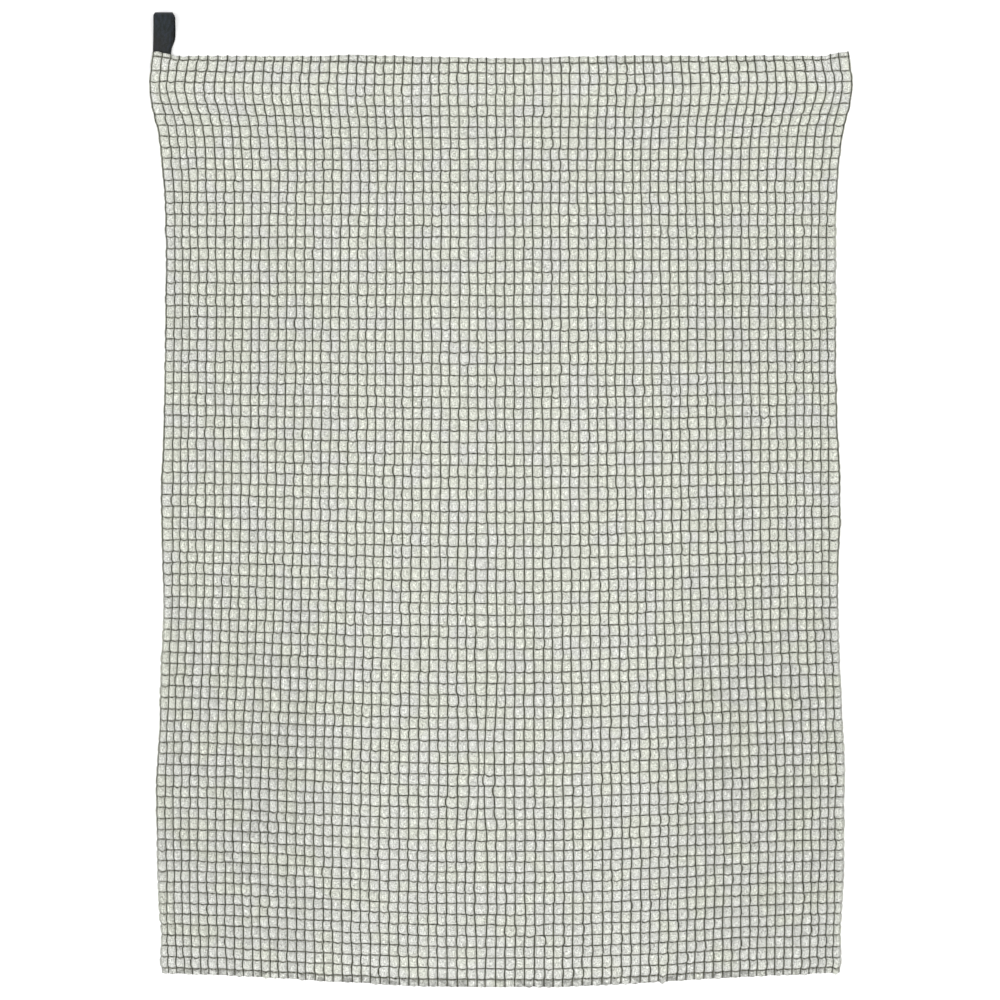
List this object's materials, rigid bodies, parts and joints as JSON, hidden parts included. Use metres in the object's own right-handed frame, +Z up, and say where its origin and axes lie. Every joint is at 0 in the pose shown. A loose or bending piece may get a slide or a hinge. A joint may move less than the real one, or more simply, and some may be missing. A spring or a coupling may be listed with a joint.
{
  "type": "tea towel",
  "caption": "Rectangular cotton tea towel in a thin graph check with puffed ribs, turned hems and a folded tape loop at one corner to hang it by.",
  "frame": {"origin": "on the surface under the towel, in the middle of its outline with the loop", "axes": "+Z up out of the cloth's face, +Y along the length towards the hem with the loop, +X across, so the loop is at the -X corner"},
  "size_m": [0.5274, 0.73, 0.0079],
  "materials": {
    "cotton_check": "soft puffed cotton in off-white with thin charcoal threads",
    "cotton_tape": "dark charcoal woven cotton tape"
  },
  "bodies": {
    "root": {"towel_cloth": "cotton_check", "hanging_loop": "cotton_tape"}
  },
  "joints": []
}
